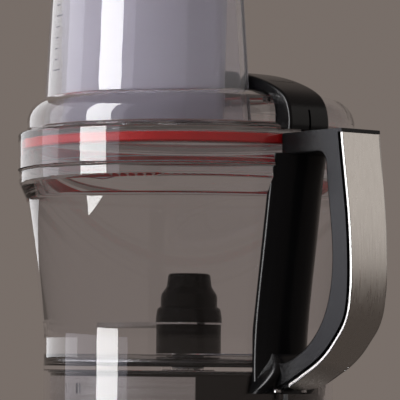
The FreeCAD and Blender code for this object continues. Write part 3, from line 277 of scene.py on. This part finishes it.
def metal(name, colour, roughness, stretch=(1, 1, 1), scale=60, contrast=0.05, depth=0.000004):
    """Metal with brush lines that run along the axis whose stretch factor is smallest."""
    mat, tree, bsdf = shader(name)
    lines = noise(tree, scale, stretch, 5.0)
    tree.links.new(tinted(tree, lines, colour, contrast), bsdf.inputs["Base Color"])
    tree.links.new(spread(tree, lines, roughness * 0.8, roughness * 1.25), bsdf.inputs["Roughness"])
    bump(tree, lines, depth, bsdf.inputs["Normal"])
    bsdf.inputs["Metallic"].default_value = 1.0
    return mat


def clear(name, tint, haze=0.015, clearness=1.0):
    """Moulded clear plastic with faint handling marks."""
    mat, tree, bsdf = shader(name)
    marks = noise(tree, 35, detail=6.0)
    bsdf.inputs["Base Color"].default_value = (*tint, 1)
    tree.links.new(spread(tree, marks, 0.0, haze), bsdf.inputs["Roughness"])
    bump(tree, noise(tree, 18), 0.00004, bsdf.inputs["Normal"])
    bsdf.inputs["IOR"].default_value = 1.5
    bsdf.inputs["Transmission Weight"].default_value = clearness
    return mat


def glow(name, colour, strength):
    """A surface that gives light of its own."""
    mat, tree, bsdf = shader(name)
    tree.links.new(tinted(tree, noise(tree, 300), colour, 0.05), bsdf.inputs["Base Color"])
    bsdf.inputs["Emission Color"].default_value = (*colour, 1)
    bsdf.inputs["Emission Strength"].default_value = strength
    return mat


def make_materials():
    along_z = (1, 1, 0.02)
    around = (0.03, 0.03, 1)
    return {
        "housing_metal": metal("housing_metal", (0.56, 0.56, 0.57), 0.34, (0.05, 0.05, 1), 220, 0.04),
        "polished_metal": metal("polished_metal", (0.78, 0.78, 0.79), 0.10, around, 350, 0.03),
        "brushed_steel": metal("brushed_steel", (0.70, 0.675, 0.645), 0.30, along_z, 900,
                               0.03, 0.000002),
        "satin_metal": metal("satin_metal", (0.93, 0.93, 0.95), 0.17, around, 350, 0.03),
        "edge_steel": metal("edge_steel", (0.60, 0.60, 0.59), 0.12, along_z, 300, 0.02),
        "black_plastic": plastic("black_plastic", (0.003, 0.003, 0.0035), 0.22, 1500, 0.000008,
                                 0.1, shine=0.22),
        "grey_plastic": plastic("grey_plastic", (0.22, 0.225, 0.235), 0.4),
        "panel_black": plastic("panel_black", (0.008, 0.008, 0.009), 0.12, 500, 0.000002, 0.1, 0.6),
        "clear_plastic": clear("clear_plastic", (0.965, 0.965, 0.985)),
        "pusher_clear": clear("pusher_clear", (0.93, 0.90, 1.0), 0.03, 0.40),
        "chute_clear": clear("chute_clear", (0.95, 0.94, 0.99), 0.015, 0.94),
        "display_glass": clear("display_glass", (0.5, 0.52, 0.55), 0.01),
        "red_silicone": plastic("red_silicone", (0.80, 0.004, 0.008), 0.34, 700, 0.00002, 0.08),
        "black_rubber": plastic("black_rubber", (0.014, 0.014, 0.014), 0.75, 700, 0.00005),
        "steel": metal("steel", (0.62, 0.62, 0.64), 0.25, (1, 1, 1), 400),
        "blade_steel": metal("blade_steel", (0.80, 0.80, 0.82), 0.14, (0.04, 1, 1), 260, 0.04),
        "lamination": metal("lamination", (0.32, 0.33, 0.35), 0.45, (0.02, 0.02, 1), 1400, 0.2),
        "copper": metal("copper", (0.72, 0.33, 0.16), 0.32, (1, 1, 1), 500, 0.15, 0.0002),
        "cast_aluminium": metal("cast_aluminium", (0.6, 0.6, 0.61), 0.5, (1, 1, 1), 600, 0.08, 0.00005),
        "board": plastic("board", (0.02, 0.12, 0.05), 0.35, 300, 0.00003),
        "white_plastic": plastic("white_plastic", (0.72, 0.72, 0.69), 0.42),
        "print_white": plastic("print_white", (0.75, 0.76, 0.78), 0.5),
        "print_grey": plastic("print_grey", (0.10, 0.10, 0.13), 0.5),
        "glow_white": glow("glow_white", (0.75, 0.85, 1.0), 1.2),
    }


# nodes whose look differs from the rest of their slot
SPECIAL = {"large_pusher": "pusher_clear", "small_pusher": "pusher_clear",
           "feed_chute": "chute_clear", "boss_band": "satin_metal"}


def dress_nodes(materials):
    """Gives every CAD node the material of its record slot, or its own one from SPECIAL."""
    slots = {sub["node"]: sub["material_slot"] for sub in frame["record"]["subparts"]}
    for name, obj in NODES.items():
        mat = materials[SPECIAL.get(name, slots[name])]
        if not obj.material_slots:
            obj.data.materials.append(mat)
        for slot in obj.material_slots:
            slot.material = mat


# ---- detail pieces --------------------------------------------------------------------------
def solid(name, points, faces, mat, body):
    """A mesh piece from points in millimetres, riding on a CAD body."""
    mesh = bpy.data.meshes.new(name)
    mesh.from_pydata([Vector(p) * MM for p in points], [], faces)
    mesh.materials.append(mat)
    mesh.validate()
    obj = bpy.data.objects.new(name, mesh)
    bpy.context.collection.objects.link(obj)
    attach(obj, body)


def slabs(sheets):
    """Joins closed slabs; each is a front outline and a back outline of the same length."""
    points = []
    faces = []
    for front, back in sheets:
        start = len(points)
        n = len(front)
        points += list(front) + list(back)
        faces.append(tuple(start + i for i in range(n)))
        faces.append(tuple(start + n + i for i in reversed(range(n))))
        for i in range(n):
            j = (i + 1) % n
            faces.append((start + i, start + n + i, start + n + j, start + j))
    return points, faces


DOT_R_IN = 0.01                      # a filled dot is a ring with next to no hole


def flat_ring(x, z, y_front, depth, r_out, r_in, a0=0.0, a1=360.0, steps=48):
    """Slabs that make a flat ring, or part of one, facing -Y."""
    sheets = []
    for i in range(steps):
        a = math.radians(a0 + (a1 - a0) * i / steps)
        b = math.radians(a0 + (a1 - a0) * (i + 1) / steps)
        quad = [(r_in, a), (r_out, a), (r_out, b), (r_in, b)]
        outline = [(x + r * math.cos(t), z + r * math.sin(t)) for r, t in quad]
        sheets.append(flat_shape(outline, y_front, depth))
    return sheets


def flat_shape(outline, y_front, depth):
    """A slab from an outline in X and Z, facing -Y."""
    return ([(u, y_front, v) for u, v in outline], [(u, y_front + depth, v) for u, v in outline])


def upright(x0, x1, z0, z1):
    """Corners of a rectangle in X and Z."""
    return [(x0, z0), (x1, z0), (x1, z1), (x0, z1)]


def on_chute(phi_deg, z, proud):
    """A point on the chute's round wall, proud of it, at an angle about the drive axis."""
    r = CHUTE_R - CHUTE_DRAFT * (z - LID_TOP_Z) + proud
    a = math.radians(phi_deg)
    return (r * math.cos(a), r * math.sin(a), z)


TICKS = 15
TICK_PITCH = 6.5
TICK_HALF = 0.3                      # half the thickness of a tick
TICK_START_DEG = 253.0
TICK_BENDS = 3                       # flat runs that a tick bends into round the wall


def chute_scale(materials):
    """Printed tick marks up the round wall of the chute, facing the front."""
    sheets = []
    for i in range(TICKS):
        z = LID_TOP_Z + 14 + TICK_PITCH * i
        reach = 6.0 if i % 5 == 0 else 3.2
        for step in range(TICK_BENDS):
            a = TICK_START_DEG + reach * step / TICK_BENDS
            b = TICK_START_DEG + reach * (step + 1) / TICK_BENDS
            quad = upright(a, b, z - TICK_HALF, z + TICK_HALF)
            sheets.append(([on_chute(t, h, 0.12) for t, h in quad],
                           [on_chute(t, h, 0.02) for t, h in quad]))
    points, faces = slabs(sheets)
    solid("chute_scale", points, faces, materials["print_grey"], "lid")


def mark_sheets(mark, x, z, y):
    """Slabs of one button's mark: start, pulse, power, plus or minus."""
    depth = MARK_DEPTH
    half = STROKE / 2
    reach = 1.9                      # of a plus or minus sign from its middle
    sheets = []
    if mark == "start":
        sheets.append(flat_shape([(x - 2.2, z - 3.0), (x + 3.2, z), (x - 2.2, z + 3.0)], y, depth))
    if mark == "pulse":
        sheets += flat_ring(x, z, y, depth, 3.6, 2.9)
        sheets += flat_ring(x, z, y, depth, 1.4, DOT_R_IN, steps=24)
    if mark == "power":
        sheets += flat_ring(x, z, y, depth, 2.6, 2.1, 120, 420, 40)
        sheets.append(flat_shape(upright(x - half, x + half, z + 0.6, z + 3.1), y, depth))
    if mark in ("plus", "minus"):
        sheets.append(flat_shape(upright(x - reach, x + reach, z - half, z + half), y, depth))
    if mark == "plus":
        clear_of_bar = half + 0.01
        for low, high in ((clear_of_bar, reach), (-reach, -clear_of_bar)):
            sheets.append(flat_shape(upright(x - half, x + half, z + low, z + high), y, depth))
    return sheets


def button_marks(materials):
    """Printed mark on each button."""
    for body, (node, x, z, mark) in BUTTON_MARKS.items():
        rim_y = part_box(node)[0][1] / MM
        points, faces = slabs(mark_sheets(mark, x, z, rim_y + MARK_BEHIND_RIM))
        solid(body + "_mark", points, faces, materials["print_white"], body)


# which of the seven bars each digit lights, from the top round clockwise, the middle last
DIGIT_BARS = {"0": "abcdef", "3": "abcdg"}


def seven_segment(text, x, z, y):
    """Digit bars for the timer display."""
    w, h, gap = 3.2, 3.4, 1.9
    half = 0.35                      # half the thickness of a bar
    cut = 0.5                        # how far a bar stops short of its corners
    # start of each bar and its run, along X and Z
    bars = {"a": (0, 2 * h, w, 0), "b": (w, h, 0, h), "c": (w, 0, 0, h), "d": (0, 0, w, 0),
            "e": (0, 0, 0, h), "f": (0, h, 0, h), "g": (0, h, w, 0)}
    sheets = []
    for i, digit in enumerate(text):
        left = x + i * (w + gap)
        for bar in DIGIT_BARS[digit]:
            bar_x, bar_z, run_x, run_z = bars[bar]
            trim_x, trim_z = (-cut, half) if run_x else (half, -cut)
            x0, z0 = left + bar_x, z + bar_z
            corners = upright(x0 - trim_x, x0 + run_x + trim_x, z0 - trim_z, z0 + run_z + trim_z)
            sheets.append(flat_shape(corners, y, 0.1))
    return sheets


DIAL_TICKS = 24


def display_face(materials):
    """Lit digits and a ring of ticks on the display's lens."""
    x, z = DISPLAY_XZ
    y = DISPLAY_Y - 0.12
    sheets = seven_segment("0300", x - 8.9, z - 3.4, y)
    for i in range(DIAL_TICKS):
        a = 360.0 / DIAL_TICKS * i
        sheets += flat_ring(x, z, y, 0.1, 16.4, 15.2, a + 0.5, a + 3.5, 1)
    points, faces = slabs(sheets)
    solid("display_digits", points, faces, materials["glow_white"], "base")


DOT_ROWS = 3
DOT_COLUMNS = 3
DOT_STEP_X = 1.9
DOT_STEP_Z = 1.5
DOT_PROUD = 0.18


def latch_dots(materials):
    """Raised grip dots near the foot of the lid tab's side."""
    sheets = []
    for row in range(DOT_ROWS):
        for col in range(DOT_COLUMNS):
            x = 103.4 + DOT_STEP_X * col
            z = BOWL_Z + 140.0 + DOT_STEP_Z * row
            sheets += flat_ring(x, z, LATCH_SIDE_Y - DOT_PROUD, 0.3, 0.42, DOT_R_IN, steps=10)
    points, faces = slabs(sheets)
    solid("latch_dots", points, faces, materials["black_plastic"], "lid")


def cover_edges(materials):
    """Polished edge down each side of the steel cover, which widens upwards."""
    low, top = COVER_Z
    for side, name in ((-1, "cover_edge_left"), (1, "cover_edge_right")):
        curve = bpy.data.curves.new("cover_edge", "CURVE")
        curve.dimensions = "3D"
        curve.bevel_depth = 0.4 * MM
        curve.bevel_resolution = 3
        curve.resolution_u = 10
        line = curve.splines.new("BEZIER")
        line.bezier_points.add(len(COVER_LINE) - 1)
        for point, (x, z) in zip(line.bezier_points, COVER_LINE):
            half = COVER_HALF_LOW + (COVER_HALF_TOP - COVER_HALF_LOW) * (z - low) / (top - low)
            point.co = Vector((x - 0.35, side * (half - 0.1), z)) * MM
            point.handle_left_type = point.handle_right_type = "AUTO"
        obj = bpy.data.objects.new(name, curve)
        bpy.context.collection.objects.link(obj)
        curve.materials.append(materials["edge_steel"])
        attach(obj, "bowl")


MATERIALS = make_materials()
dress_nodes(MATERIALS)
chute_scale(MATERIALS)
button_marks(MATERIALS)
display_face(MATERIALS)
latch_dots(MATERIALS)
cover_edges(MATERIALS)
place_floor()
surroundings()
place_lamps()
place_camera()

CLEAR_BOUNCES = 24                   # light crosses many clear walls on its way
GLOSSY_BOUNCES = 12
scene = bpy.context.scene
scene.view_settings.view_transform = "Standard"
scene.cycles.max_bounces = CLEAR_BOUNCES
scene.cycles.transmission_bounces = CLEAR_BOUNCES
scene.cycles.glossy_bounces = GLOSSY_BOUNCES
